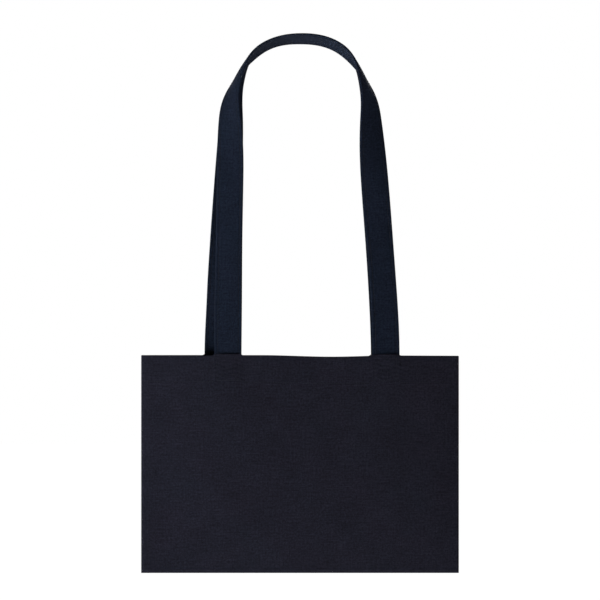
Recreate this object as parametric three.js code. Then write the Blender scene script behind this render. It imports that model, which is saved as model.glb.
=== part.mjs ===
// A canvas tote bag that hangs by its two long handles.
// Millimetres, +Z up, +X to the right, and the front of the bag faces -Y.
// The origin is the place under the tops of the handles where a hook or a hand holds the bag.
import * as THREE from "three";

// The bag
const BAG_WIDTH = 380;
const BAG_HEIGHT = 260;
const HANG_HEIGHT = 373; // from the mouth up to the origin
const MOUTH_BOW = 16; // how far each panel stands out at the middle of the mouth
const BOW_POWER_UP = 3; // how soon the bow is full above the bottom seam
const BOW_POWER_ACROSS = 2.5; // how soon it is full inside the side seams
const MOUTH_DIP = 2; // how far the mouth edge sinks between the handles
const MOUTH_DIP_CENTRE = 28;
const MOUTH_DIP_HALF_WIDTH = 88;

// The cloth
const CLOTH = 0.9;
const GAP = 0.3; // between pieces that lie on each other
const SEAM_HALF = 2.4; // half the thickness of the sewn edges, four layers of cloth
const FOLD_RADIUS = 2.2;
const HEM_DEPTH = 33;
const ALLOWANCE_WIDTH = 10;
const ALLOWANCE_INSET = 2.1; // from the outer edge of the seam to its allowance

// The thread
const THREAD_WIDTH = 0.8;
const THREAD_HEIGHT = 0.4;
const HEM_STITCH_INSET = 1.8; // above the lower edge of the hem
const BOX_STITCH_SIZE = 27;
const TOPSTITCH_INSET = 3.8; // from the edge of the strap
const OVERLOCK_WIDTH = 1.4;

// The handles
const STRAP_WIDTH = 32.5;
const STRAP_THICKNESS = 2.4;
const STRAP_END_LENGTH = 32;
const ARCH_CENTRE = 1;
const ARCH_HALF_WIDTH = 83.6;
const SHOULDER_HEIGHT = 287.7; // where the arch of the handle begins
const ARCH_RISE = 91.5;
const ARCH_POWER = 2.3; // 2 is an ellipse, and more is squarer
const LEAN_HEIGHT = 316; // over which a leg leans in from its foot to the arch
const ARCH_DEPTH = 18; // from the middle of the bag to the middle of the strap at the top
// The strap turns over as it rises: its turn in degrees at each distance along it from the mouth. The
// right leg begins to turn lower down than the left one.
const LEFT_TURNS = [[0, 4], [180, 4], [250, 16], [295, 35], [328, 69], [356, 94], [372, 102], [430, 106]];
const RIGHT_TURNS = [[0, 4], [180, 5], [250, 22], [295, 46], [328, 73], [356, 98], [372, 105], [430, 106]];

// How finely the curved pieces are divided
const PANEL_COLUMN_STEPS = 20;
const PANEL_ROW_STEPS = 11;
const SEAM_STEPS = 8;
const STRAP_END_STEPS = 4;
const HANDLE_STEPS = 64;
const LEG_STEPS = 16;
const ARCH_STEPS = 48;
const LENGTH_STEPS = 800;

const FRONT = { name: "front", side: -1, feet: [-86, 102.6] };
const REAR = { name: "rear", side: 1, feet: [-98.3, 101.3] };

const MOUTH_Z = -HANG_HEIGHT;
const BOTTOM_Z = MOUTH_Z - BAG_HEIGHT;

const canvas = new THREE.MeshStandardMaterial({ color: 0x1d1f2a, roughness: 0.9, metalness: 0 });
const strapping = new THREE.MeshStandardMaterial({ color: 0x1b2131, roughness: 0.85, metalness: 0 });
const thread = new THREE.MeshStandardMaterial({ color: 0x14161f, roughness: 0.7, metalness: 0 });

const bag = new THREE.Group();

function ease(x) {
  const t = THREE.MathUtils.clamp(x, 0, 1);
  return t * t * (3 - 2 * t);
}

// Turns the faces round if they point inwards.
function faceOut(geometry) {
  const position = geometry.getAttribute("position");
  const index = geometry.index.array;
  const corner = (i) => new THREE.Vector3().fromBufferAttribute(position, index[i]);
  let volume = 0;
  for (let i = 0; i < index.length; i += 3) {
    volume += corner(i).dot(corner(i + 1).cross(corner(i + 2)));
  }
  if (volume < 0) {
    index.reverse();
  }
  return geometry;
}

// A thick sheet: a grid of us by vs with one face at outer(u, v) and the other at inner(u, v).
function sheet(us, vs, outer, inner) {
  const points = [];
  for (const face of [outer, inner]) {
    for (const v of vs) {
      for (const u of us) {
        points.push(face(u, v));
      }
    }
  }
  const columns = us.length;
  const rows = vs.length;
  const last = columns - 1;
  const index = [];
  const at = (face, row, column) => (face * rows + row) * columns + column;
  const quad = (a, b, c, d) => index.push(a, b, c, a, c, d);
  for (let r = 0; r < rows - 1; r++) {
    for (let c = 0; c < columns - 1; c++) {
      quad(at(0, r, c), at(0, r, c + 1), at(0, r + 1, c + 1), at(0, r + 1, c));
      quad(at(1, r + 1, c), at(1, r + 1, c + 1), at(1, r, c + 1), at(1, r, c));
    }
    quad(at(0, r, 0), at(0, r + 1, 0), at(1, r + 1, 0), at(1, r, 0));
    quad(at(0, r + 1, last), at(0, r, last), at(1, r, last), at(1, r + 1, last));
  }
  for (let c = 0; c < columns - 1; c++) {
    quad(at(0, 0, c + 1), at(0, 0, c), at(1, 0, c), at(1, 0, c + 1));
    quad(at(0, rows - 1, c), at(0, rows - 1, c + 1), at(1, rows - 1, c + 1), at(1, rows - 1, c));
  }
  const geometry = new THREE.BufferGeometry().setFromPoints(points);
  geometry.setIndex(index);
  geometry.computeVertexNormals();
  return faceOut(geometry);
}

function addMesh(name, geometry, material) {
  const mesh = new THREE.Mesh(geometry, material);
  mesh.name = name;
  bag.add(mesh);
}

function spread(from, to, steps) {
  return Array.from({ length: steps + 1 }, (_, i) => from + ((to - from) * i) / steps);
}

// ---- the two panels ----

// How far the edge of the mouth lies under its full height at x.
function mouthDip(x) {
  return MOUTH_DIP * (1 - ease(Math.abs(x - MOUTH_DIP_CENTRE) / MOUTH_DIP_HALF_WIDTH));
}

// How far a panel stands out at x and at a height above the bottom edge.
function bow(x, height) {
  const up = 1 - (1 - height / BAG_HEIGHT) ** BOW_POWER_UP;
  const across = 1 - Math.abs((2 * x) / BAG_WIDTH) ** BOW_POWER_ACROSS;
  return MOUTH_BOW * up * across;
}

// How full the rounded edge of a fold is at a distance from the edge.
function foldFullness(distance) {
  const t = Math.min((distance + GAP) / FOLD_RADIUS, 1);
  return Math.sqrt(1 - (1 - t) ** 2);
}

function edgeDistance(x, height) {
  return Math.min(BAG_WIDTH / 2 - Math.abs(x), height, BAG_HEIGHT - mouthDip(x) - height);
}

// Distance from the middle plane of the bag to the outer face of a panel.
function outerDepth(x, height) {
  const flat = GAP / 2;
  return flat + (SEAM_HALF - flat) * foldFullness(edgeDistance(x, height)) + bow(x, height);
}

// Distance from the middle plane to the inner face of a panel, whose edges are folded over.
function innerDepth(x, height) {
  const toTop = BAG_HEIGHT - mouthDip(x) - height;
  const toSeam = Math.min(BAG_WIDTH / 2 - Math.abs(x), height);
  if (toSeam < CLOTH + GAP / 2) {
    return GAP / 2;
  }
  if (toTop < CLOTH + GAP / 2) {
    return bow(x, height) + SEAM_HALF - 2 * CLOTH - GAP;
  }
  return bow(x, height) + SEAM_HALF - CLOTH;
}

const HALF = BAG_WIDTH / 2;
const FOLD_LINES = [0, CLOTH, CLOTH + 2 * GAP, FOLD_RADIUS + CLOTH]; // distances from a folded edge
const PANEL_COLUMNS = [
  ...FOLD_LINES.map((d) => d - HALF),
  ...spread(-HALF, HALF, PANEL_COLUMN_STEPS).slice(1, -1),
  ...FOLD_LINES.map((d) => HALF - d).reverse(),
];
const CLEAR_COLUMNS = PANEL_COLUMNS.slice(FOLD_LINES.length - 1, 1 - FOLD_LINES.length);

function panelPoint(side, x, depth, height) {
  return new THREE.Vector3(x, side * depth, BOTTOM_Z + height);
}

// A face of something that follows a panel, at a depth function, with rows given as heights.
function panelFace(side, depthAt) {
  return (x, height) => panelPoint(side, x, depthAt(x, height), height);
}

function addPanel({ name, side }) {
  // The rows are heights under a level mouth, and the upper half of them sinks where the mouth dips.
  const rows = [
    ...FOLD_LINES,
    ...spread(0, BAG_HEIGHT, PANEL_ROW_STEPS).slice(1, -1),
    ...[...FOLD_LINES].reverse().map((d) => BAG_HEIGHT - d),
  ];
  const lowered = (x, row) => row - mouthDip(x) * ease((2 * row) / BAG_HEIGHT - 1);
  const face = (depthAt) => (x, row) => {
    const height = lowered(x, row);
    return panelPoint(side, x, depthAt(x, height), height);
  };
  addMesh(`${name}_panel`, sheet(PANEL_COLUMNS, rows, face(outerDepth), face(innerDepth)), canvas);
}

// The turned-down hem lies inside its panel, under the fold of the mouth.
function addHem({ name, side }) {
  const drops = [CLOTH + 3 * GAP, HEM_DEPTH / 2, HEM_DEPTH];
  const depth = SEAM_HALF - CLOTH - GAP;
  const face = (inset) => (x, drop) => {
    const height = BAG_HEIGHT - mouthDip(x) - drop;
    return panelPoint(side, x, bow(x, height) + depth - inset, height);
  };
  addMesh(`${name}_hem`, sheet(CLEAR_COLUMNS, drops, face(0), face(CLOTH)), canvas);
}

function addHemStitch({ name, side }) {
  const middle = HEM_DEPTH - HEM_STITCH_INSET;
  const drops = [middle - THREAD_WIDTH / 2, middle + THREAD_WIDTH / 2];
  const face = (lift) => (x, drop) => {
    const height = BAG_HEIGHT - mouthDip(x) - drop;
    return panelPoint(side, x, bow(x, height) + SEAM_HALF + lift, height);
  };
  addMesh(`${name}_hem_stitch`, sheet(CLEAR_COLUMNS, drops, face(GAP + THREAD_HEIGHT), face(GAP)), thread);
}

// ---- the seams inside the bag ----

// A strip of both panels' cloth, sewn together and standing inside the seam.
function addStrip(name, columns, rows, halfThickness, material) {
  const face = (side) => panelFace(side, () => halfThickness);
  addMesh(name, sheet(columns, rows, face(-1), face(1)), material);
}

function addSideSeam(name, side) {
  const top = BAG_HEIGHT - HEM_DEPTH - MOUTH_DIP;
  const outer = HALF - ALLOWANCE_INSET;
  const inner = outer - ALLOWANCE_WIDTH;
  addStrip(`${name}_seam_allowance`, [side * inner, side * outer], [ALLOWANCE_INSET, top], CLOTH, canvas);
  const overBottomSeam = ALLOWANCE_INSET + ALLOWANCE_WIDTH + OVERLOCK_WIDTH + 2 * GAP;
  const edge = [side * (inner - GAP - OVERLOCK_WIDTH), side * (inner - GAP)];
  addStrip(`${name}_seam_overlock`, edge, [overBottomSeam, top], CLOTH + GAP, thread);
}

function addBottomSeam() {
  const end = HALF - ALLOWANCE_INSET - ALLOWANCE_WIDTH - GAP;
  const columns = spread(-end, end, SEAM_STEPS);
  const top = ALLOWANCE_INSET + ALLOWANCE_WIDTH;
  addStrip("bottom_seam_allowance", columns, [ALLOWANCE_INSET, top], CLOTH, canvas);
  const edge = [top + GAP, top + GAP + OVERLOCK_WIDTH];
  addStrip("bottom_seam_overlock", columns, edge, CLOTH + GAP, thread);
}

// ---- the handles ----

// Depth of the middle of a strap that is sewn against the inside of the hem at x.
function strapDepth(x, height) {
  return bow(x, height) + SEAM_HALF - 2 * CLOTH - 2 * GAP - STRAP_THICKNESS / 2;
}

// The middle of a handle at a share of the arch's half width and a height above the mouth. Its leg
// leans in from the foot, which is further out than the arch.
function handlePoint({ side, feet }, across, height) {
  const foot = across < 0 ? feet[0] : feet[1];
  const footDepth = strapDepth(foot, BAG_HEIGHT);
  const lean = 1 - ease(height / LEAN_HEIGHT);
  const footOffset = foot - ARCH_CENTRE - Math.sign(across) * ARCH_HALF_WIDTH;
  const x = ARCH_CENTRE + ARCH_HALF_WIDTH * across + footOffset * lean;
  const depth = ARCH_DEPTH + (footDepth - ARCH_DEPTH) * lean;
  return new THREE.Vector3(x, side * depth, MOUTH_Z + height);
}

// The middle of a handle, from its left foot over the arch, a superellipse, to its right foot.
function handleLine(handle) {
  const rounded = (value) => Math.sign(value) * Math.abs(value) ** (2 / ARCH_POWER);
  const leg = spread(GAP, SHOULDER_HEIGHT, LEG_STEPS).slice(0, -1);
  const left = leg.map((height) => handlePoint(handle, -1, height));
  const right = leg.map((height) => handlePoint(handle, 1, height)).reverse();
  const arch = spread(0, Math.PI, ARCH_STEPS).map((angle) => {
    const height = SHOULDER_HEIGHT + ARCH_RISE * rounded(Math.abs(Math.sin(angle)));
    return handlePoint(handle, -rounded(Math.cos(angle)), height);
  });
  return new THREE.CatmullRomCurve3([...left, ...arch, ...right]);
}

// How far the strap has turned over, in radians, at a distance along it from the mouth.
function turnAt(turns, distance) {
  const last = turns[turns.length - 1];
  if (distance >= last[0]) {
    return THREE.MathUtils.degToRad(last[1]);
  }
  const next = turns.findIndex(([at]) => at > distance);
  const [from, turnFrom] = turns[next - 1];
  const [to, turnTo] = turns[next];
  return THREE.MathUtils.degToRad(THREE.MathUtils.mapLinear(distance, from, to, turnFrom, turnTo));
}

// The strap at evenly spaced stations: where it is, the way across it, and the way out of its face.
function handleStations(handle) {
  const line = handleLine(handle);
  line.arcLengthDivisions = LENGTH_STEPS;
  const length = line.getLength();
  const outOfBag = new THREE.Vector3(0, handle.side, 0);
  return spread(0, 1, HANDLE_STEPS).map((t) => {
    const along = line.getTangentAt(t);
    const inward = new THREE.Vector3(0, 1, 0).cross(along).normalize();
    const turn = t < 0.5 ? turnAt(LEFT_TURNS, length * t) : turnAt(RIGHT_TURNS, length * (1 - t));
    const across = inward.multiplyScalar(Math.cos(turn)).addScaledVector(outOfBag, Math.sin(turn));
    const out = new THREE.Vector3().crossVectors(across, along).multiplyScalar(-handle.side).normalize();
    return { centre: line.getPointAt(t), across, out };
  });
}

function addHandle(handle) {
  const stations = handleStations(handle);
  const steps = stations.map((_, i) => i);
  const face = (lift) => (u, i) => {
    const { centre, across, out } = stations[i];
    return centre.clone().addScaledVector(across, u).addScaledVector(out, lift);
  };
  const edge = STRAP_WIDTH / 2;
  const row = [edge - TOPSTITCH_INSET - THREAD_WIDTH, edge - TOPSTITCH_INSET];
  const columns = [-edge, -row[1], -row[0], row[0], row[1], edge];
  const surface = STRAP_THICKNESS / 2;
  addMesh(`${handle.name}_handle`, sheet(columns, steps, face(surface), face(-surface)), strapping);
  const top = face(surface + GAP + THREAD_HEIGHT);
  const under = face(surface + GAP);
  addMesh(`${handle.name}_handle_inner_topstitch`, sheet(row, steps, top, under), thread);
  addMesh(`${handle.name}_handle_outer_topstitch`, sheet([-row[1], -row[0]], steps, top, under), thread);
}

// The end of a strap, sewn flat against the inside of the hem.
function addStrapEnd({ name, side }, which, foot) {
  const columns = spread(foot - STRAP_WIDTH / 2, foot + STRAP_WIDTH / 2, STRAP_END_STEPS);
  const rows = [BAG_HEIGHT - STRAP_END_LENGTH, BAG_HEIGHT];
  const face = (inset) => panelFace(side, (x, height) => strapDepth(x, height) + inset);
  const solid = sheet(columns, rows, face(STRAP_THICKNESS / 2), face(-STRAP_THICKNESS / 2));
  addMesh(`${name}_${which}_strap_end`, solid, strapping);
}

// A square of thread with a cross in it: a square outline with four triangular holes.
function boxStitchShape() {
  const half = BOX_STITCH_SIZE / 2;
  const inside = half - THREAD_WIDTH;
  const arm = THREAD_WIDTH / Math.SQRT2;
  const corner = (x, y) => new THREE.Vector2(x, y);
  const outline = [corner(-half, -half), corner(half, -half), corner(half, half), corner(-half, half)];
  const shape = new THREE.Shape(outline);
  const triangle = [corner(0, arm), corner(inside - arm, inside), corner(arm - inside, inside)];
  for (const turn of [0, 0.5, 1, 1.5]) {
    const turned = triangle.map((point) => point.clone().rotateAround(corner(0, 0), turn * Math.PI));
    shape.holes.push(new THREE.Path(turned));
  }
  return shape;
}

// The box stitch that holds a strap end shows on the outside of the panel.
function addBoxStitch({ name, side }, which, foot) {
  const middle = BAG_HEIGHT - STRAP_END_LENGTH / 2;
  const flat = new THREE.ExtrudeGeometry(boxStitchShape(), { depth: THREAD_HEIGHT, bevelEnabled: false });
  const position = flat.getAttribute("position");
  const points = [];
  for (let i = 0; i < position.count; i++) {
    const x = foot + position.getX(i);
    const height = middle + position.getY(i);
    points.push(panelPoint(side, x, bow(x, height) + SEAM_HALF + GAP + position.getZ(i), height));
  }
  const geometry = new THREE.BufferGeometry().setFromPoints(points);
  geometry.setIndex(points.map((_, i) => i));
  geometry.computeVertexNormals();
  addMesh(`${name}_${which}_box_stitch`, faceOut(geometry), thread);
}

for (const part of [FRONT, REAR]) {
  addPanel(part);
  addHem(part);
  addHemStitch(part);
  addHandle(part);
  ["left", "right"].forEach((which, i) => {
    addStrapEnd(part, which, part.feet[i]);
    addBoxStitch(part, which, part.feet[i]);
  });
}
addSideSeam("left", -1);
addSideSeam("right", 1);
addBottomSeam();

export default bag;
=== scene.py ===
# A canvas tote bag that hangs by its two long handles. Metres, +Z up, and the front of the bag faces -Y.
import math

import bpy
import numpy as np
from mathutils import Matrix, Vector


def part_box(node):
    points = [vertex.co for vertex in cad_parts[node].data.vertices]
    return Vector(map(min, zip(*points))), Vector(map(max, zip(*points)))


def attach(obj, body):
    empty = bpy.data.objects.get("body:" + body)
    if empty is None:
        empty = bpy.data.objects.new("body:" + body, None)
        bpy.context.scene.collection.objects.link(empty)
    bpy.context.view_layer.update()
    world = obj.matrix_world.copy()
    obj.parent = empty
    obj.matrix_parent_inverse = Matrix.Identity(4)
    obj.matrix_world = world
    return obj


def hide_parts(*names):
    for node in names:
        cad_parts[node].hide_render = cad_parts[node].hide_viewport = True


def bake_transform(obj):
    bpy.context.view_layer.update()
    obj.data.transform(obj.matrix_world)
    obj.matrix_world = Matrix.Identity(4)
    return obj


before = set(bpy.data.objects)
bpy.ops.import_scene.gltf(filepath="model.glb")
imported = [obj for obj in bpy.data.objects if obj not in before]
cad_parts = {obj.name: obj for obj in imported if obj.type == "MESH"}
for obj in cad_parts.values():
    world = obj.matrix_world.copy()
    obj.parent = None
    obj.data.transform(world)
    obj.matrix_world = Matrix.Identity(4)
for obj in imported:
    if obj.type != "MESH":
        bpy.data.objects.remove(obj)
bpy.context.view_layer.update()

MM = 0.001
WORLD_LIGHT = 0.04

# ---- sizes that the frame gives ----

panel_low, panel_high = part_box("front_panel")
HALF_WIDTH = panel_high[0]
MOUTH = panel_high[2]
BOTTOM = panel_low[2]
HEIGHT = MOUTH - BOTTOM
SEAM_HALF = 2.4 * MM
MOUTH_BOW = -panel_low[1] - SEAM_HALF
HEM_DEPTH = 33 * MM

# ---- sizes of the cloth ----

CLOTH = 0.75 * MM
FOLD = 0.8 * MM  # radius of a fold, to the middle of the cloth
EDGE_ROUND = 2.2 * MM
LIP = 0.04 * MM  # depth at which the panels meet in a seam
HEM_LIP = 0.45 * MM  # and the least depth of the layers of the hem between them
MOUTH_DIP = 1.7 * MM
MOUTH_DIP_CENTRE = 36 * MM
MOUTH_DIP_HALF_WIDTH = 80 * MM
MOUTH_TILT = 0.4 * MM  # half the difference in height between the two ends of the mouth
STRAP_LIFT = 2.2 * MM  # how far a strap pulls the mouth up
LIFT_HALF_WIDTH = 14 * MM
LIFT_FADE = 5 * MM
TUCK = 8 * MM  # raw edge turned under inside the hem
HEM_INSET = 1.2 * MM  # how far the ends of the hem stay inside the edges of the panel
HEM_STITCH_DROP = 31.2 * MM
BOX_STITCH = 26.5 * MM
STITCH = 3.0 * MM  # from one needle hole to the next
THREAD_RADIUS = 0.24 * MM
OVERLOCK_RADIUS = 0.17 * MM
BOW_POWER_UP = 3  # how soon a panel's bow is full above the bottom seam
BOW_POWER_ACROSS = 2.5  # and inside the side seams
WAVES = 9
WAVE_SIZE = 0.6 * MM
WAVES_FROM_SIDES = 45 * MM  # distance from the side seams at which the waves are full
WAVES_FROM_BOTTOM = 70 * MM
HEM_CALM = 0.65  # share of the waves that the stiff hem takes away
HEM_CALM_FROM = 55 * MM  # how far below the mouth this starts
HEM_CALM_FADE = 45 * MM
RIDGE_SIZE = 0.9 * MM  # of the cloth that hangs below a strap
RIDGE_WIDTH = 20 * MM
RIDGE_FROM = 110 * MM  # height at which a ridge starts
RIDGE_FADE = 130 * MM
HEM_STEP = 0.30 * MM  # how far the layers of the hem push the cloth out
PATCH_STEP = 0.35 * MM  # and how much further the end of a strap does
STEP_INSET = 1 * MM  # where these steps start to fade, inside their edges
STEP_FADE = 2.5 * MM
PATCH_END_FADE = 2 * MM
HEM_DENT = 0.30 * MM  # how far the thread of the hem pulls the cloth in
HEM_DENT_WIDTH = 1.0 * MM
HEM_PUCKER = 0.35  # share of that dent that comes and goes with each stitch
HEM_PUCKER_WIDTH = 3 * MM
BOX_DENT = 0.36 * MM  # how far the thread of the boxed crosses pulls it in
BOX_DENT_WIDTH = 0.9 * MM
CRINKLE = 0.22 * MM  # of the cloth between the rows of the boxed crosses
CRINKLE_REACH = 9 * MM  # from the nearest row
CRINKLE_UP = 1250  # radians a metre, up the cloth
CRINKLE_ACROSS = 260  # and across it
PRESSED_FROM_EDGE = 4 * MM  # distance from the seams at which these steps and dents show fully
ROW_STEP = 2.8 * MM  # between the rows of a panel's mesh
FINE_ROW_STEP = 1.1 * MM  # between those of the hem
FINE_ROWS = 38 * MM  # how far down from the mouth these go
HEM_ROW_STEP = 1.8 * MM  # inside the bag
TUCK_ROW_STEP = 1.6 * MM
COLUMN_STEP = 1.5 * MM
EDGE_REACH = 4 * MM  # the mesh is finer nearer to an edge than this

# ---- sizes of the straps ----

STRAP_WIDTH = 32.6 * MM
STRAP_THICKNESS = 2.2 * MM
STRAP_END = 32 * MM
STRAP_INSET = 3.6 * MM  # from the outside of a panel to the middle of the strap sewn inside it
FOLD_OVER = 16 * MM  # length of strap above the mouth where its mesh is finer
TOPSTITCH = 12.2 * MM  # from the middle of the strap
ARCH_CENTRE = 1 * MM
ARCH_HALF_WIDTH = 83.6 * MM
SHOULDER = 287.7 * MM
ARCH_RISE = 91.5 * MM
ARCH_POWER = 2.31
LEAN_HEIGHT = 316 * MM
ARCH_DEPTH = 18 * MM
CUP = 0.5 * MM  # how far the edges of a strap curl back
SHOULDER_CUP = 3.1 * MM  # and how much more they do where it turns over
SHOULDER_CUP_AT = 340 * MM
SHOULDER_CUP_REACH = 30 * MM
CUP_FROM = 30 * MM  # distance from the mouth at which a strap starts to curl
CUP_FADE = 80 * MM
SHOULDER_SPREAD = 1.5 * MM  # the front strap stands a little outside the rear one at its left shoulder
SHOULDER_SPREAD_AT = 300 * MM
SHOULDER_SPREAD_REACH = 45 * MM
LINE_SMOOTHING = 9  # rows of a strap over which its middle line is evened out
TURN_SMOOTHING = 21  # and over which its turning over is
ARCH_STEPS = 160
PUCKER = 0.07 * MM  # of a strap along its topstitching
PUCKER_WIDTH = 2.2 * MM
WANDER = 0.25 * MM  # of a strap's edges from side to side
WANDER_RATE = 31  # radians a metre
CHANNEL_DEPTH = 0.22 * MM  # of the channels that the topstitching presses in
CHANNEL_WIDTH = 0.9 * MM
CHANNEL_FILL = 0.2 * MM  # how deep the thread lies in them
EDGE_SWELL = 0.10 * MM  # of the folded edges of a strap
EDGE_SWELL_INSET = 1.6 * MM
EDGE_SWELL_WIDTH = 1.2 * MM
SLIT_DEPTH = 0.12 * MM  # of the slit where the folded edges meet
# How far a strap has turned over, in degrees, at each distance along it from the mouth in mm
LEFT_TURNS = {0: 4, 180: 4, 220: 8, 250: 16, 275: 25, 295: 35, 312: 51, 328: 69, 342: 81, 356: 94, 372: 102,
              395: 103, 430: 106}
RIGHT_TURNS = {0: 4, 180: 5, 220: 11, 250: 22, 275: 35, 295: 46, 312: 59, 328: 73, 342: 87, 356: 98, 372: 105,
               395: 106, 430: 106}
# How each strap is twisted besides: the end (0 left, 1 right), how far from the mouth, over what length
# (both in mm) and by how many degrees
TWISTS = {
    "front": [(0, 300, 45, 8), (0, 170, 70, 5), (1, 100, 90, 5)],
    "rear": [(1, 220, 70, 9), (0, 55, 50, -17)],
}

rng = np.random.default_rng(11)


def ease(x):
    t = np.clip(x, 0, 1)
    return t * t * (3 - 2 * t)


def bump(x, width):
    return np.exp(-((x / width) ** 2))


def strap_feet(name):
    boxes = [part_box(f"{name}_{which}_strap_end") for which in ("left", "right")]
    return [(low[0] + high[0]) / 2 for low, high in boxes]


class Bag:
    """One side of the bag, front or rear: its direction along Y and where its strap is sewn."""

    def __init__(self, name, side):
        self.name = name
        self.side = side
        self.feet = strap_feet(name)
        self.loop = f"{name}_loop"
        self.waves = [
            (rng.uniform(0.5, 1.0), rng.uniform(12, 42), rng.uniform(-9, 9), rng.uniform(0, 2 * math.pi))
            for _ in range(WAVES)
        ]


FRONT = Bag("front", -1)
REAR = Bag("rear", 1)


# ---- the shape of the panels ----


def bow(x, height):
    """How far a panel stands out at x and at a height above the bottom edge."""
    up = 1 - (1 - np.clip(height / HEIGHT, 0, 1)) ** BOW_POWER_UP
    return MOUTH_BOW * up * (1 - np.abs(x / HALF_WIDTH) ** BOW_POWER_ACROSS)


def mouth_height(bag, x):
    """Height of the edge of the mouth at x: it sinks between the straps and is pulled up where they leave."""
    dip = MOUTH_DIP * (1 - ease(np.abs(x - MOUTH_DIP_CENTRE) / MOUTH_DIP_HALF_WIDTH))
    tilt = -MOUTH_TILT * x / HALF_WIDTH
    pull = 0
    for foot in bag.feet:
        past = np.abs(x - foot) - LIFT_HALF_WIDTH
        pull = pull + STRAP_LIFT * (1 - ease(past / LIFT_FADE))
    return HEIGHT - dip + tilt + pull


def edge_fullness(distance):
    t = np.clip(distance / EDGE_ROUND, 0, 1)
    return np.sqrt(1 - (1 - t) ** 2)


def drape(bag, x, height):
    """Soft upright waves in the hanging cloth, with a ridge under each strap, dying out at the seams."""
    wave = 0
    for size, across, up, start in bag.waves:
        wave = wave + size * np.sin(across * x + up * height + start)
    inside = ease((HALF_WIDTH - np.abs(x)) / WAVES_FROM_SIDES) * ease(height / WAVES_FROM_BOTTOM)
    hem = 1 - HEM_CALM * ease((height - HEIGHT + HEM_CALM_FROM) / HEM_CALM_FADE)
    ridge = sum(bump(x - foot, RIDGE_WIDTH) for foot in bag.feet)
    ridge = ridge * ease((height - RIDGE_FROM) / RIDGE_FADE)
    return inside * hem * (WAVE_SIZE * wave + RIDGE_SIZE * ridge)


def box_lines(foot):
    """The straight rows of the boxed cross over one end of a strap, as ends (x, height)."""
    half = BOX_STITCH / 2
    middle = HEIGHT - STRAP_END / 2
    corners = [(foot + a * half, middle + b * half) for a, b in ((-1, -1), (1, -1), (1, 1), (-1, 1))]
    sides = [(corners[i], corners[(i + 1) % 4]) for i in range(4)]
    return sides + [(corners[0], corners[2]), (corners[1], corners[3])]


def line_distance(x, height, line):
    (ax, ay), (bx, by) = line
    along = ((x - ax) * (bx - ax) + (height - ay) * (by - ay)) / ((bx - ax) ** 2 + (by - ay) ** 2)
    along = np.clip(along, 0, 1)
    return np.hypot(x - ax - along * (bx - ax), height - ay - along * (by - ay))


def pressed(bag, x, height):
    """How far the thread pulls the cloth in, and how far the layers under it push it out."""
    drop = mouth_height(bag, x) - height
    near_hem = np.abs(drop - HEM_STITCH_DROP)
    pucker = 1 + HEM_PUCKER * np.sin(2 * math.pi * x / STITCH) * bump(near_hem, HEM_PUCKER_WIDTH)
    pull = HEM_DENT * bump(near_hem, HEM_DENT_WIDTH) * pucker
    step = HEM_STEP * (1 - ease((drop - HEM_DEPTH + STEP_INSET) / STEP_FADE))
    for foot in bag.feet:
        patch = 1 - ease((np.abs(x - foot) - STRAP_WIDTH / 2 + STEP_INSET) / STEP_FADE)
        step = step + PATCH_STEP * patch * (1 - ease((drop - STRAP_END) / PATCH_END_FADE))
    lines = [line for foot in bag.feet for line in box_lines(foot)]
    rows = np.minimum.reduce([line_distance(x, height, line) for line in lines])
    between = ease(step / (0.6 * MM)) * (rows < CRINKLE_REACH)
    crinkle = CRINKLE * np.sin(height * CRINKLE_UP + 2 * np.sin(x * CRINKLE_ACROSS)) * between
    return step - pull - BOX_DENT * bump(rows, BOX_DENT_WIDTH) + crinkle


def panel_depth(bag, x, height):
    """Depth of the middle of the cloth on the outside of the bag."""
    edge = np.minimum(HALF_WIDTH - np.abs(x), height)
    full = LIP + (SEAM_HALF - CLOTH / 2 - LIP) * edge_fullness(edge)
    sewn = pressed(bag, x, height) * ease(edge / PRESSED_FROM_EDGE)
    return full + bow(x, height) + drape(bag, x, height) + sewn


def spaced(start, stop, step):
    return np.linspace(start, stop, max(2, round(abs(stop - start) / step) + 1))


def edge_steps():
    """Distances from an edge of a panel at which its mesh has columns or rows, where it is round."""
    return np.array([0, 0.15, 0.4, 0.8, 1.3, 1.9, 2.7]) * MM


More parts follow.
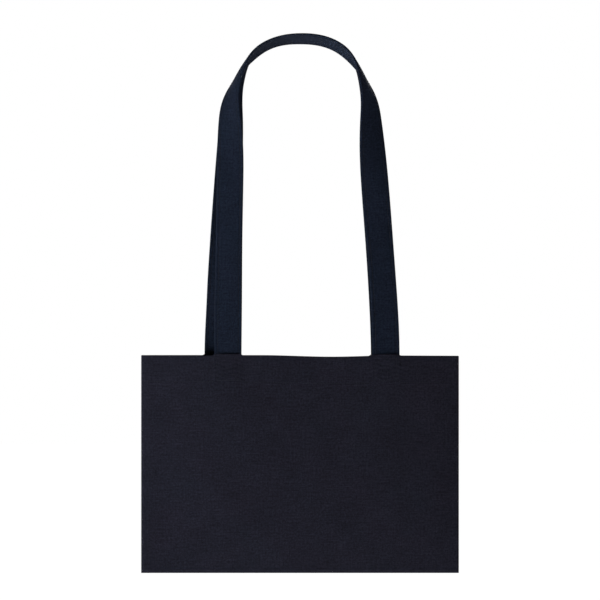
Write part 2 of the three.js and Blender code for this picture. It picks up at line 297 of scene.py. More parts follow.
def panel_rows(bag, x):
    """Depth and height of the middle of the cloth over each column x, from the bottom seam up the
    outside, over the fold of the mouth, down inside as the hem, and tucked under at its edge."""
    top = mouth_height(bag, x)
    rows = []

    def outside(height):
        rows.append((panel_depth(bag, x, height), height))

    fine_from = 1 - FINE_ROWS / HEIGHT
    body = np.concatenate([edge_steps() / HEIGHT, spaced(EDGE_REACH, fine_from * HEIGHT, ROW_STEP) / HEIGHT])
    fine = spaced(fine_from * HEIGHT + 1.2 * MM, HEIGHT - 2 * FOLD, FINE_ROW_STEP) / HEIGHT
    for share in np.concatenate([body, fine]):
        sink = (top - HEIGHT) * ease(2 * share - 1)
        outside(share * HEIGHT + sink)
    least = np.full(len(rows), LIP)
    depth = panel_depth(bag, x, top - FOLD)
    for angle in np.linspace(0, math.pi, 9):
        rows.append((depth - FOLD + FOLD * math.cos(angle), top - FOLD + FOLD * math.sin(angle)))
    hem_end = HEM_DEPTH - FOLD / 2
    for drop in spaced(2.2 * MM, hem_end, HEM_ROW_STEP):
        height = top - drop
        rows.append((panel_depth(bag, x, height) - 2 * FOLD, height))
    depth = panel_depth(bag, x, top - hem_end)
    for angle in np.linspace(0, math.pi, 6)[1:]:
        turn = FOLD / 2
        rows.append((depth - 1.5 * FOLD - turn * math.cos(angle), top - hem_end - turn * math.sin(angle)))
    for rise in spaced(1.5 * MM, TUCK, TUCK_ROW_STEP):
        height = top - hem_end + rise
        rows.append((panel_depth(bag, x, height) - FOLD, height))
    depths, heights = np.array(rows).transpose(1, 0, 2)
    least = np.pad(least, (0, len(rows) - len(least)), constant_values=HEM_LIP)
    return np.maximum(depths, least[:, None]), heights


# ---- meshes ----


def make_object(name, points, faces, coords, material):
    """A mesh whose points carry their place on the flat cloth, in metres, which the weave follows."""
    mesh = bpy.data.meshes.new(name)
    mesh.from_pydata(points.reshape(-1, 3).tolist(), [], faces)
    flat = mesh.attributes.new("cloth", "FLOAT_VECTOR", "POINT")
    flat.data.foreach_set("vector", np.asarray(coords, dtype=np.float32).reshape(-1))
    mesh.polygons.foreach_set("use_smooth", [True] * len(mesh.polygons))
    mesh.materials.append(material)
    mesh.update()
    piece = bpy.data.objects.new(name, mesh)
    bpy.context.scene.collection.objects.link(piece)
    return piece


def grid_faces(rows, columns, wrap=False, start=0, flip=False):
    r = np.arange(rows - 1)[:, None]
    c = np.arange(columns if wrap else columns - 1)[None, :]
    after = (c + 1) % columns
    here, above = r * columns, (r + 1) * columns
    quads = np.stack([here + c, here + after, above + after, above + c], -1).reshape(-1, 4) + start
    return quads[:, ::-1] if flip else quads


def slab(middle, coords, thickness, flip=False):
    """Points, faces and cloth places of a sheet with a thickness round a grid of middle points."""
    rows, columns = middle.shape[:2]
    normal = np.cross(np.gradient(middle, axis=1), np.gradient(middle, axis=0))
    normal /= np.maximum(np.linalg.norm(normal, axis=2, keepdims=True), 1e-12)
    if flip:
        normal = -normal
    points = np.concatenate([(middle + s * normal * thickness / 2).reshape(-1, 3) for s in (1, -1)])
    count = rows * columns
    index = np.arange(count).reshape(rows, columns)
    ring = np.concatenate([index[0, :], index[1:, -1], index[-1, -2::-1], index[-2:0:-1, 0]])
    after = np.roll(ring, -1)
    rim = np.stack([ring, after, after + count, ring + count], -1)
    faces = np.concatenate(
        [
            grid_faces(rows, columns, flip=flip),
            grid_faces(rows, columns, start=count, flip=not flip),
            rim if flip else rim[:, ::-1],
        ]
    )
    return points, faces.tolist(), np.concatenate([coords.reshape(-1, 3)] * 2)


def joined(parts):
    """Several (points, faces, coords) as one."""
    faces, start = [], 0
    for points, part_faces, _ in parts:
        faces += [[i + start for i in face] for face in part_faces]
        start += len(points)
    return np.concatenate([p[0] for p in parts]), faces, np.concatenate([p[2] for p in parts])


def carried_along(along):
    """A direction square to the line at each point, carried from one point to the next without twisting."""
    sideways = np.eye(3)[np.argmin(np.abs(along[0]))]
    carried = []
    for way in along:
        square = sideways - way * (sideways @ way)
        sideways = square / np.linalg.norm(square)
        carried.append(sideways)
    return np.array(carried)


def tube(line, radius, sides=6):
    """Points, faces and places of a closed tube along a line of points."""
    line = np.asarray(line, float)
    along = np.gradient(line, axis=0)
    along /= np.linalg.norm(along, axis=1, keepdims=True)
    first = carried_along(along)
    second = np.cross(along, first)
    angles = np.arange(sides) * 2 * math.pi / sides
    radii = np.broadcast_to(np.asarray(radius, float), (len(line),))[:, None, None]
    ring = np.cos(angles)[None, :, None] * first[:, None] + np.sin(angles)[None, :, None] * second[:, None]
    points = (line[:, None] + ring * radii).reshape(-1, 3)
    faces = grid_faces(len(line), sides, wrap=True).tolist()
    last = (len(line) - 1) * sides
    faces.append(list(range(sides))[::-1])
    faces.append([last + i for i in range(sides)])
    run = np.concatenate([[0], np.cumsum(np.linalg.norm(np.diff(line, axis=0), axis=1))])
    coords = np.stack(np.broadcast_arrays(run[:, None], angles[None, :] * radii[:, :, 0], 0.0), -1)
    return points, faces, coords.reshape(-1, 3)


# ---- threads ----


def stitch_row(surface, length, start=0.0):
    """Single stitches along a row. surface(s, lift) gives points at distances s along the row."""
    count = max(1, int((length + 1e-9) / STITCH))
    pitch = length / count
    shares = np.array([0.06, 0.2, 0.5, 0.8, 0.94])
    lifts = np.array([-0.22, 0.10, 0.20, 0.10, -0.22]) * MM
    radii = THREAD_RADIUS * np.array([0.8, 1.0, 1.05, 1.0, 0.8])
    return [tube(surface(start + (k + shares) * pitch, lifts), radii) for k in range(count)]


def make_threads(name, stitches, material):
    return make_object(name, *joined(stitches), material)


def panel_surface(bag, x, height, lift):
    """A point on the outside of a panel, raised by lift."""
    depth = panel_depth(bag, x, height) + CLOTH / 2 + lift
    return np.stack([x, bag.side * depth, BOTTOM + height], -1)


def hem_row(bag):
    reach = HALF_WIDTH - 3 * MM

    def outside(s, lift):
        x = s - reach
        return panel_surface(bag, x, mouth_height(bag, x) - HEM_STITCH_DROP, lift)

    def inside(s, lift):
        x = s - reach
        height = mouth_height(bag, x) - HEM_STITCH_DROP
        depth = panel_depth(bag, x, height) - 2 * FOLD - CLOTH / 2 - lift
        return np.stack([x, bag.side * depth, BOTTOM + height], -1)

    return [row for surface in (outside, inside) for row in stitch_row(surface, 2 * reach)]


def box_rows(bag, which):
    """The boxed cross over a strap end, outside on the panel and inside on the strap."""
    rows = []
    for start, end in box_lines(bag.feet[which]):
        start, end = np.array(start), np.array(end)
        length = np.linalg.norm(end - start)

        def outside(s, lift):
            x, height = (start + (end - start) * (s / length)[:, None]).T
            return panel_surface(bag, x, height, lift)

        def inside(s, lift):
            x, height = (start + (end - start) * (s / length)[:, None]).T
            depth = strap_depth(x, height) - STRAP_THICKNESS / 2 - lift
            return np.stack([x, bag.side * depth, BOTTOM + height], -1)

        rows += stitch_row(outside, length) + stitch_row(inside, length)
    return rows


# ---- the straps ----


def strap_depth(x, height):
    """Depth of the middle of a strap sewn inside the hem."""
    return bow(x, height) + SEAM_HALF - STRAP_INSET


class Strap:
    """A strap laid out along its middle line, from its left sewn end over the arch to its right one."""

    def __init__(self, bag):
        self.bag = bag
        line = self.middle_line()
        run = np.concatenate([[0], np.cumsum(np.linalg.norm(np.diff(line, axis=0), axis=1))])
        self.length = run[-1]
        self.s = spaced(0, self.length, 1.0 * MM)
        self.centre = np.stack([np.interp(self.s, run, line[:, i]) for i in range(3)], -1)
        self.centre = self.smooth(self.centre, LINE_SMOOTHING)
        self.along = np.gradient(self.centre, axis=0)
        self.along /= np.linalg.norm(self.along, axis=1, keepdims=True)
        from_right = self.length - self.s
        left, right = self.turned(self.s, LEFT_TURNS), self.turned(from_right, RIGHT_TURNS)
        turn = np.where(self.s < from_right, left, right)
        for end, at, reach, degrees in TWISTS[bag.name]:
            from_mouth = (from_right if end else self.s) - STRAP_END
            turn = turn + math.radians(degrees) * bump(from_mouth - at * MM, reach * MM)
        if bag.side < 0:
            past = self.s - STRAP_END - SHOULDER_SPREAD_AT
            self.centre[:, 0] -= SHOULDER_SPREAD * bump(past, SHOULDER_SPREAD_REACH)
        turn = self.smooth(turn[:, None], TURN_SMOOTHING)
        inward = np.cross([0.0, 1.0, 0.0], self.along)
        inward /= np.linalg.norm(inward, axis=1, keepdims=True)
        self.across = inward * np.cos(turn) + np.array([0.0, bag.side, 0.0]) * np.sin(turn)
        self.out = -bag.side * np.cross(self.across, self.along)
        self.out /= np.linalg.norm(self.out, axis=1, keepdims=True)

    @staticmethod
    def turned(s, table):
        """How far the strap has turned over at s along it from a sewn end, in radians."""
        keys = np.array(list(table.items()), float)
        return np.radians(np.interp((s - STRAP_END) / MM, keys[:, 0], keys[:, 1]))

    @staticmethod
    def smooth(values, width):
        kernel = np.ones(width) / width
        padded = np.pad(values, ((width // 2, width // 2), (0, 0)), mode="reflect", reflect_type="odd")
        return np.stack([np.convolve(column, kernel, "valid") for column in padded.T], -1)

    def leg(self, which, heights):
        """Points of one leg at heights above the mouth, leaning in from its foot."""
        sign = (-1, 1)[which]
        foot = self.bag.feet[which]
        lean = 1 - ease(heights / LEAN_HEIGHT)
        x = ARCH_CENTRE + sign * ARCH_HALF_WIDTH + (foot - ARCH_CENTRE - sign * ARCH_HALF_WIDTH) * lean
        return x, self.depth(foot, heights)

    @staticmethod
    def depth(foot, heights):
        foot_depth = strap_depth(foot, HEIGHT + np.minimum(heights, 0))
        return ARCH_DEPTH + (foot_depth - ARCH_DEPTH) * (1 - ease(heights / LEAN_HEIGHT))

    def middle_line(self):
        legs = []
        for which in (0, 1):
            heights = spaced(-STRAP_END, SHOULDER, 4 * MM)[:-1]
            x, depth = self.leg(which, heights)
            legs.append(np.stack([x, self.bag.side * depth, MOUTH + heights], -1))
        angle = np.linspace(0, math.pi, ARCH_STEPS)
        power = 2 / ARCH_POWER
        heights = SHOULDER + ARCH_RISE * np.abs(np.sin(angle)) ** power
        share = -np.sign(np.cos(angle)) * np.abs(np.cos(angle)) ** power
        foot = np.where(share < 0, self.bag.feet[0], self.bag.feet[1])
        lean = 1 - ease(heights / LEAN_HEIGHT)
        shift = foot - ARCH_CENTRE - np.sign(share) * ARCH_HALF_WIDTH
        x = ARCH_CENTRE + ARCH_HALF_WIDTH * share + shift * lean
        arch = np.stack([x, self.bag.side * self.depth(foot, heights), MOUTH + heights], -1)
        return np.concatenate([legs[0], arch, legs[1][::-1]])

    def cup(self, s, u):
        """How far the strap is curled back at s along it and u across it."""
        from_end = np.minimum(s, self.length - s) - STRAP_END
        depth = CUP + SHOULDER_CUP * bump(from_end - SHOULDER_CUP_AT, SHOULDER_CUP_REACH)
        return depth * (u / (STRAP_WIDTH / 2)) ** 2 * ease((from_end - CUP_FROM) / CUP_FADE)

    def at(self, s, u, lift):
        """Points at distances s along the strap, u across it and lift out of its middle."""
        centre, across, out = self.frame(s)
        return centre + across * np.asarray(u)[..., None] + out * np.asarray(lift)[..., None]

    def frame(self, s):
        """The middle, the way across and the way out of the strap at distances s along it."""
        ways = (self.centre, self.across, self.out)
        return [np.stack([np.interp(s, self.s, way[:, i]) for i in range(3)], -1) for way in ways]

    def rows(self):
        """Distances along the strap for the rows of its mesh, closer just above the mouth."""
        near = spaced(STRAP_END, STRAP_END + FOLD_OVER, 0.4 * MM)
        return np.unique(np.concatenate([self.s, near, self.length - near]))


def strap_section():
    """One turn round the strap's section: (across, out, place on the cloth) with rounded edges, the
    channels that the topstitching presses in, and the slit where the folded edges meet."""
    half = STRAP_WIDTH / 2
    edge = STRAP_THICKNESS / 2
    outside_row = spaced(-half + edge, -TOPSTITCH - 2 * MM, 0.9 * MM)
    along_row = spaced(-TOPSTITCH - 1.4 * MM, -TOPSTITCH + 1.4 * MM, 0.7 * MM)
    between_rows = spaced(-TOPSTITCH + 2.2 * MM, 0, 2.2 * MM)
    face = np.concatenate([outside_row, along_row, between_rows])
    face = np.concatenate([face, -face[-2::-1]])
    thick = edge - CHANNEL_DEPTH * bump(np.abs(face) - TOPSTITCH, CHANNEL_WIDTH)
    thick = thick + EDGE_SWELL * bump(np.abs(face) - half + EDGE_SWELL_INSET, EDGE_SWELL_WIDTH)
    round_angles = np.linspace(math.pi / 2, -math.pi / 2, 8)[1:-1]
    right_edge = np.stack([half - edge + edge * np.cos(round_angles), edge * np.sin(round_angles)], -1)
    left_edge = -right_edge
    top = np.stack([face, thick], -1)
    under = np.stack([face[::-1], -thick[::-1]], -1)
    section = np.concatenate([top, right_edge, under, left_edge])
    slit = len(top) + len(right_edge) // 2
    section[slit - 1 : slit + 1, 0] -= SLIT_DEPTH
    step = np.linalg.norm(np.diff(section, axis=0), axis=1)
    return section, np.concatenate([[0], np.cumsum(step)])


def make_strap(bag, strap, material):
    section, place = strap_section()
    s = strap.rows()[:, None]
    across, lift = section[:, 0][None, :], section[:, 1][None, :]
    near_row = bump(np.abs(across) - TOPSTITCH, PUCKER_WIDTH) * np.sign(lift)
    pucker = PUCKER * np.sin(2 * math.pi * s / STITCH) * near_row
    wander = WANDER * np.sin(s * WANDER_RATE + bag.side) * across / (STRAP_WIDTH / 2)
    cup = strap.cup(s, across)
    centre, across_way, out = (way[:, None, :] for way in strap.frame(s[:, 0]))
    points = centre + across_way * (across + wander)[..., None] + out * (lift + pucker - cup)[..., None]
    coords = np.stack(np.broadcast_arrays(place[None, :], s, 0.0), -1)
    rows, columns = points.shape[:2]
    faces = grid_faces(rows, columns, wrap=True).tolist()
    last = (rows - 1) * columns
    faces.append(list(range(columns))[::-1])
    faces.append([last + i for i in range(columns)])
    if bag.side < 0:
        faces = [face[::-1] for face in faces]
    return make_object(f"{bag.name}_strap", points, faces, coords, material)


def topstitch_rows(strap, sign):
    rows = []
    margin = 2 * MM
    length = strap.length - 2 * margin
    for face in (1, -1):

        def surface(s, lift):
            u = np.full_like(s, sign * TOPSTITCH)
            level = STRAP_THICKNESS / 2 - CHANNEL_FILL + lift
            return strap.at(s, u, face * level - strap.cup(s, u))

        rows += stitch_row(surface, length, margin)
    return rows


# ---- the seams inside the bag ----

ALLOWANCE = 10 * MM
ALLOWANCE_INSET = 2.1 * MM
OVERLOCK_BITE = 3.6 * MM
OVERLOCK_PITCH = 2.2 * MM
OVERLOCK_STEPS = 18  # points of the thread in each loop
OVERLOCK_SLANT = 0.16  # share of the pitch by which a loop leans
OVERLOCK_PAST = 0.35 * MM  # how far the loops stand past the raw edges
OVERLOCK_DEPTH = 1.15 * MM  # from the middle of the seam to the loops
CHAIN_DEPTH = 0.95 * MM  # and to the chains beside them
LAYER_GAP = 0.04 * MM  # from the middle of the seam to each layer
ALLOWANCE_CLOTH = CLOTH * 0.95  # thickness of each layer, pressed flat
FRAY = ((0.25 * MM, 900), (0.2 * MM, 2300))  # of the raw edges: size, and radians a metre
RIPPLE = (0.06 * MM, 500)  # of the allowance, the same


def seam_place(along, inward, which):
    """A point inside a seam: along it, inward from its outer edge, in the middle plane."""
    if which == "bottom":
        return np.stack(np.broadcast_arrays(along, 0.0, BOTTOM + inward), -1)
    side = -1 if which == "left" else 1
    return np.stack(np.broadcast_arrays(side * (HALF_WIDTH - inward), 0.0, BOTTOM + along), -1)


def seam_span(which):
    if which == "bottom":
        end = HALF_WIDTH - ALLOWANCE_INSET - ALLOWANCE - 2 * MM
        return -end, end
    return ALLOWANCE_INSET, HEIGHT - HEM_DEPTH - MOUTH_DIP - 1 * MM


def make_allowance(which, material):
    """The two raw edges of the panels, lying on each other inside the seam."""
    start, stop = seam_span(which)
    along = spaced(start, stop, 1.5 * MM)[:, None]
    (fray, fray_rate), (fine_fray, fine_rate) = FRAY
    layers = []
    for layer in (-1, 1):
        ragged = fray * np.sin(along * fray_rate + layer) + fine_fray * np.sin(along * fine_rate)
        inward = ALLOWANCE_INSET + np.linspace(0, 1, 8)[None, :] * (ALLOWANCE + ragged)
        middle = seam_place(along, inward, which)
        ripple = RIPPLE[0] * np.sin(along * RIPPLE[1] + layer) * (inward / ALLOWANCE)
        middle[..., 1] += layer * (CLOTH / 2 + LAYER_GAP) + ripple
        coords = np.stack(np.broadcast_arrays(along, inward, 0.0), -1)
        layers.append(slab(middle, coords, ALLOWANCE_CLOTH))
    return make_object(f"{which}_seam_edges", *joined(layers), material)


def make_overlock(which, material):
    """Loops of thread round the raw edges, with the row of chain that holds them."""
    start, stop = seam_span(which)
    if which != "bottom":
        start += ALLOWANCE + 3 * MM
    turns = int((stop - start) / OVERLOCK_PITCH)
    angle = np.linspace(0, turns * 2 * math.pi, turns * OVERLOCK_STEPS + 1)
    along = start + OVERLOCK_PITCH * (angle / (2 * math.pi) + OVERLOCK_SLANT * np.sin(2 * angle))
    edge = ALLOWANCE_INSET + ALLOWANCE + OVERLOCK_PAST
    across = np.sign(np.cos(angle)) * np.abs(np.cos(angle)) ** 0.5
    inward = edge - OVERLOCK_BITE / 2 + OVERLOCK_BITE / 2 * across
    line = seam_place(along, inward, which)
    line[:, 1] = OVERLOCK_DEPTH * np.sign(np.sin(angle)) * np.abs(np.sin(angle)) ** 0.45
    chains = []
    for side in (-1, 1):
        length = stop - start

        def surface(s, lift):
            row = seam_place(start + s, edge - OVERLOCK_BITE, which)
            row[:, 1] = side * (CHAIN_DEPTH + lift)
            return row

        chains += stitch_row(surface, length)
    loops = tube(line, OVERLOCK_RADIUS, 5)
    return make_object(f"{which}_seam_overlock_loops", *joined([loops] + chains), material)


# ---- materials ----

WEAVE_RELIEF = 0.22 * MM
YARNS = (0.62, 0.78)  # spacing in mm of the yarns along the cloth, and of those across it
SHEEN_TINT = (0.55, 0.62, 0.9, 1)
REDDER = (1.10, 0.96, 1.0, 1)
GREENER = (0.88, 1.04, 1.02, 1)


def node_value(nodes, links, kind, *inputs):
    node = nodes.new("ShaderNodeMath")
    node.operation = kind
    for i, value in enumerate(inputs):
        if isinstance(value, (int, float)):
            node.inputs[i].default_value = value
        else:
            links.new(value, node.inputs[i])
    return node.outputs[0]


class Dye:
    """A material under construction, and the steps that its nodes are made of."""

    def __init__(self, name):
        self.material = bpy.data.materials.new(name)
        self.material.use_nodes = True
        self.nodes = self.material.node_tree.nodes
        self.links = self.material.node_tree.links
        self.shader = self.nodes["Principled BSDF"]

    def cloth_place(self):
        """Where a point is on the flat cloth, in metres."""
        place = self.nodes.new("ShaderNodeAttribute")
        place.attribute_name = "cloth"
        return place.outputs["Vector"]

    def math(self, kind, *inputs):
        return node_value(self.nodes, self.links, kind, *inputs)

    def scaled(self, vector, scale):
        node = self.nodes.new("ShaderNodeVectorMath")
        node.operation = "MULTIPLY"
        node.inputs[1].default_value = scale
        self.links.new(vector, node.inputs[0])
        return node.outputs[0]

    def noise(self, vector, scale, detail=2.0, roughness=0.5, output="Fac"):
        node = self.nodes.new("ShaderNodeTexNoise")
        node.inputs["Scale"].default_value = scale
        node.inputs["Detail"].default_value = detail
        node.inputs["Roughness"].default_value = roughness
        self.links.new(vector, node.inputs["Vector"])
        return node.outputs[output]

    def mixed(self, first, second, factor=1.0, blend="MIX"):
        """Two colours mixed, each of them fixed or from another node."""
        node = self.nodes.new("ShaderNodeMix")
        node.data_type = "RGBA"
        node.blend_type = blend
        for socket, value in (("A", first), ("B", second), ("Factor", factor)):
            if isinstance(value, (tuple, float)):
                node.inputs[socket].default_value = value
            else:
                self.links.new(value, node.inputs[socket])
        return node.outputs["Result"]

    def emboss(self, height, distance, strength=1.0):
        relief = self.nodes.new("ShaderNodeBump")
        relief.inputs["Distance"].default_value = distance
        relief.inputs["Strength"].default_value = strength
        self.links.new(height, relief.inputs["Height"])
        self.links.new(relief.outputs["Normal"], self.shader.inputs["Normal"])

    def set(self, **values):
        """Plain values of the shader, by the names of its sockets with underscores for spaces."""
        for name, value in values.items():
            self.shader.inputs[name.replace("_", " ")].default_value = value


def plain_weave(dye, in_mm):
    """Yarns over and under each other, a little wavy: 1 on the back of a yarn, and less between them."""
    sway = dye.nodes.new("ShaderNodeVectorMath")
    sway.operation = "MULTIPLY_ADD"
    sway.inputs[1].default_value = (0.5, 0.5, 0.0)
    dye.links.new(dye.noise(in_mm, 0.35, output="Color"), sway.inputs[0])
    dye.links.new(in_mm, sway.inputs[2])
    parts = dye.nodes.new("ShaderNodeSeparateXYZ")
    dye.links.new(sway.outputs[0], parts.inputs[0])

    turns = [dye.math("MULTIPLY", parts.outputs[axis], 1 / yarn) for axis, yarn in zip("XY", YARNS)]
    cell = dye.math("ADD", *(dye.math("FLOOR", turn) for turn in turns))
    over = dye.math("PINGPONG", cell, 1.0)
    under = dye.math("SUBTRACT", 1.0, over)
    backs = []
    for turn in turns:
        ridge = dye.math("ABSOLUTE", dye.math("SINE", dye.math("MULTIPLY", turn, math.pi)))
        backs.append(dye.math("POWER", ridge, 0.6))
    yarns = []
    for (back, other), shown in ((backs, over), (backs[::-1], under)):
        yarn = dye.math("MULTIPLY", back, dye.math("MULTIPLY_ADD", other, 0.55, 0.45))
        yarns.append(dye.math("MULTIPLY", yarn, shown))
    return dye.math("ADD", *yarns)


def weave_material(name, color, sheen, mottle, gloss):
    """Woven cotton with slubs, streaks, lint and uneven dye, and painted shade between the yarns."""
    dye = Dye(name)
    in_mm = dye.scaled(dye.cloth_place(), (1 / MM, 1 / MM, 1 / MM))
    weave = plain_weave(dye, in_mm)
    along = dye.noise(dye.scaled(in_mm, (1.3, 0.045, 1)), 1.0)
    across = dye.noise(dye.scaled(in_mm, (0.045, 1.1, 1)), 1.0)
    broad = dye.noise(in_mm, 0.022, 3.0, 0.55)
    fine = dye.noise(in_mm, 0.9, 2.0, 0.7)
    grain = dye.noise(in_mm, 0.38, 2.0, 0.6)
    lint = dye.math("MAXIMUM", dye.math("SUBTRACT", dye.noise(in_mm, 0.55, 1.0), 0.70), 0.0)

    # The weave's height darkens the colour as well as the bump: painted shade in the hollows between and
    # under the yarns.
    painted_shade_and_tone = dye.math("MULTIPLY_ADD", weave, 0.40, 0.66)
    for source, size in ((along, 0.75), (across, 1.0), (broad, mottle), (fine, 1.6), (grain, 1.6)):
        painted_shade_and_tone = dye.math("MULTIPLY", painted_shade_and_tone, dye.math("MULTIPLY_ADD", source, size, 1 - size / 2))
    painted_shade_and_tone = dye.math("ADD", painted_shade_and_tone, dye.math("MULTIPLY", lint, 2.2))
    tint = dye.mixed((*color, 1), painted_shade_and_tone, blend="MULTIPLY")
    hue = dye.mixed(REDDER, GREENER, dye.noise(in_mm, 0.016, 4.0, 0.6))
    dye.links.new(dye.mixed(tint, hue, blend="MULTIPLY"), dye.shader.inputs["Base Color"])
    dye.links.new(dye.math("MULTIPLY_ADD", fine, 0.16, 0.80), dye.shader.inputs["Roughness"])
    dye.set(Specular_IOR_Level=gloss, Sheen_Weight=sheen, Sheen_Roughness=0.45, Sheen_Tint=SHEEN_TINT)

    height = dye.math("MULTIPLY_ADD", fine, 0.35, weave)
    height = dye.math("ADD", height, dye.math("MULTIPLY", across, 0.5))
    dye.emboss(height, WEAVE_RELIEF, 0.75)
    return dye.material


def thread_material(name, color):
    """Twisted sewing thread: slanting plies along its length, with painted shade between them."""
    dye = Dye(name)
    place = dye.cloth_place()
    plies = dye.nodes.new("ShaderNodeTexWave")
    plies.bands_direction = "DIAGONAL"
    plies.inputs["Scale"].default_value = 260
    dye.links.new(place, plies.inputs["Vector"])
    # The plies darken the colour as well as the bump: painted shade in the grooves between them.
    painted_shade_and_tone = dye.math("MULTIPLY_ADD", plies.outputs["Fac"], 0.35, 0.70)
    patchy = dye.math("MULTIPLY_ADD", dye.noise(place, 120), 0.5, 0.75)
    painted_shade_and_tone = dye.math("MULTIPLY", painted_shade_and_tone, patchy)
    tint = dye.mixed((*color, 1), painted_shade_and_tone, blend="MULTIPLY")
    dye.links.new(tint, dye.shader.inputs["Base Color"])
    dye.set(Roughness=0.7, Specular_IOR_Level=0.12)
    dye.emboss(plies.outputs["Fac"], 0.05 * MM)
    return dye.material


# ---- camera, light and floor ----

CAMERA_LENS = 200
CAMERA_DISTANCE = 3.995
CAMERA_RISE = 66.8 * MM  # above the mouth
# Each lamp's place, from the middle of the mouth, then its width, power and colour
LAMPS = {
    "key": ((-2.34, -1.14, -0.55), 0.84, 84, (0.88, 0.96, 1.0)),
    "fill": ((1.6, -2.6, 0.9), 1.2, 6, (1.0, 0.94, 0.93)),
    "top": ((0.4, 0.6, 2.4), 1.6, 22, (1, 1, 1)),
    "rear": ((0.7, 2.5, 0.9), 1.2, 60, (1, 1, 1)),
    "rear_fill": ((-1.3, 2.5, 0.7), 1.2, 24, (1, 1, 1)),
}
FLOOR_DROP = 0.45  # from the bottom of the bag
FLOOR_REACH = 14.0
FLOOR_SIDES = 96
GLOW_DISTANCES = (1.0, 4.5)  # where the floor's own brightness starts to grow, and where it is full
GLOW_LEVELS = (0.34, 0.98)
PAPER = (0.85, 0.85, 0.85, 1)


def add_camera():
    data = bpy.data.cameras.new("camera")
    data.lens = CAMERA_LENS
    data.sensor_width = 36
    camera = bpy.data.objects.new("camera", data)
    camera.location = (0, -CAMERA_DISTANCE, MOUTH + CAMERA_RISE)
    camera.rotation_euler = (math.pi / 2, 0, 0)
    bpy.context.scene.collection.objects.link(camera)
    bpy.context.scene.camera = camera


def add_lamp(name, offset, size, power, color):
    """A round lamp that shines on the mouth of the bag."""
    data = bpy.data.lights.new(name, "AREA")
    data.shape = "DISK"
    data.size = size
    data.energy = power
    data.color = color
    lamp = bpy.data.objects.new(name, data)
    x, y, up = offset
    lamp.location = (x, y, MOUTH + up)
    toward = Vector((0, 0, MOUTH)) - lamp.location
    lamp.rotation_euler = toward.to_track_quat("-Z", "Y").to_euler()
    lamp.visible_camera = False
    bpy.context.scene.collection.objects.link(lamp)


def add_world():
    """Plain white to the camera, and a dim even light to everything else."""
    world = bpy.data.worlds.new("studio")
    world.use_nodes = True
    bpy.context.scene.world = world
    nodes, links = world.node_tree.nodes, world.node_tree.links
    background = nodes["Background"]
    background.inputs["Color"].default_value = (1, 1, 1, 1)
    seen = nodes.new("ShaderNodeLightPath").outputs["Is Camera Ray"]
    level = node_value(nodes, links, "MULTIPLY_ADD", seen, 1.0 - WORLD_LIGHT, WORLD_LIGHT)
    links.new(level, background.inputs["Strength"])


def floor_material():
    """Pale paper that brightens to white away from the bag."""
    paper = Dye("pale_floor")
    place = paper.nodes.new("ShaderNodeNewGeometry")
    distance = paper.nodes.new("ShaderNodeVectorMath")
    distance.operation = "LENGTH"
    paper.links.new(place.outputs["Position"], distance.inputs[0])
    glow = paper.nodes.new("ShaderNodeMapRange")
    glow.interpolation_type = "SMOOTHSTEP"
    for i, end in enumerate(("Min", "Max")):
        glow.inputs[f"From {end}"].default_value = GLOW_DISTANCES[i]
        glow.inputs[f"To {end}"].default_value = GLOW_LEVELS[i]
    paper.links.new(distance.outputs["Value"], glow.inputs["Value"])
    paper.links.new(glow.outputs["Result"], paper.shader.inputs["Emission Strength"])
    paper.set(Base_Color=PAPER, Roughness=0.9, Emission_Color=(1, 1, 1, 1))
    return paper.material


def add_floor():
    """A wide round floor, well below the hanging bag."""
    angles = np.arange(FLOOR_SIDES) * 2 * math.pi / FLOOR_SIDES
    level = BOTTOM - FLOOR_DROP
    rim = [(FLOOR_REACH * math.cos(a), FLOOR_REACH * math.sin(a), level) for a in angles]
    mesh = bpy.data.meshes.new("floor")
    mesh.from_pydata(rim, [], [list(range(FLOOR_SIDES))])
    mesh.materials.append(floor_material())
    floor = bpy.data.objects.new("floor", mesh)
    bpy.context.scene.collection.objects.link(floor)


def add_surroundings():
    bpy.context.scene.view_settings.view_transform = "Standard"
    add_world()
    add_floor()
    for name, lamp in LAMPS.items():
        add_lamp(name, *lamp)


# ---- the bag ----


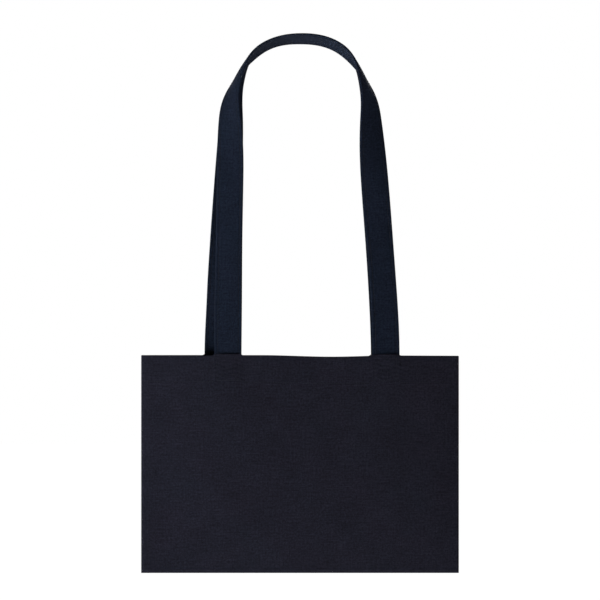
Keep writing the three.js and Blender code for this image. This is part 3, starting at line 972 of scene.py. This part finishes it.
def make_panel(bag, material):
    edge = edge_steps()
    inner = spaced(-HALF_WIDTH + EDGE_REACH, HALF_WIDTH - EDGE_REACH, COLUMN_STEP)
    x = np.concatenate([edge - HALF_WIDTH, inner, HALF_WIDTH - edge[::-1]])
    depths, heights = panel_rows(bag, x)
    hem_from = len(heights) - np.argmax(heights[::-1, 0])
    narrowing = np.where(np.arange(len(heights)) > hem_from, 1 - HEM_INSET / HALF_WIDTH, 1)[:, None]
    middle = np.stack([x[None, :] * narrowing, bag.side * depths, BOTTOM + heights], -1)
    step = np.hypot(np.diff(depths, axis=0), np.diff(heights, axis=0)).mean(axis=1)
    run = np.concatenate([[0], np.cumsum(step)])
    coords = np.stack(np.broadcast_arrays(x[None, :], run[:, None], 0.0), -1)
    panel = make_object(f"{bag.name}_canvas", *slab(middle, coords, CLOTH, flip=bag.side < 0), material)
    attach(panel, "bag")
    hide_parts(f"{bag.name}_panel", f"{bag.name}_hem")
    return panel, run[-1]


def stand_for(piece, node):
    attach(piece, "bag")
    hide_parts(node)


def bend_over_mouth(piece):
    """Bakes the piece's placement into its mesh."""
    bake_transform(piece)


def make_side(bag, canvas, webbing, thread):
    strap = Strap(bag)
    panel, cut_length = make_panel(bag, canvas)
    hem_thread = make_threads(f"{bag.name}_hem_thread", hem_row(bag), thread)
    stand_for(hem_thread, f"{bag.name}_hem_stitch")
    for which, word in enumerate(("left", "right")):
        boxed = make_threads(f"{bag.name}_{word}_box_thread", box_rows(bag, which), thread)
        stand_for(boxed, f"{bag.name}_{word}_box_stitch")
    band = make_strap(bag, strap, webbing)
    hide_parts(f"{bag.name}_handle", f"{bag.name}_left_strap_end", f"{bag.name}_right_strap_end")
    bend_over_mouth(band)
    for word, sign in (("inner", 1), ("outer", -1)):
        row = make_threads(f"{bag.name}_{word}_topstitch", topstitch_rows(strap, sign), thread)
        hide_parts(f"{bag.name}_handle_{word}_topstitch")
        bend_over_mouth(row)
    return panel


def make_seam(which, canvas, thread):
    edges = make_allowance(which, canvas)
    stand_for(edges, f"{which}_seam_allowance")
    stand_for(make_overlock(which, thread), f"{which}_seam_overlock")


add_camera()
canvas = weave_material("navy_canvas", (0.0136, 0.0130, 0.0212), sheen=0.04, mottle=0.5, gloss=0.07)
webbing = weave_material("navy_strap", (0.0106, 0.0145, 0.0262), sheen=0.0, mottle=0.4, gloss=0.03)
thread = thread_material("navy_thread", (0.0135, 0.0145, 0.0230))
overlock = thread_material("navy_overlock", (0.0165, 0.0175, 0.0260))
panels = [make_side(bag, canvas, webbing, thread) for bag in (FRONT, REAR)]
for which in ("left", "right", "bottom"):
    make_seam(which, canvas, overlock)
add_surroundings()
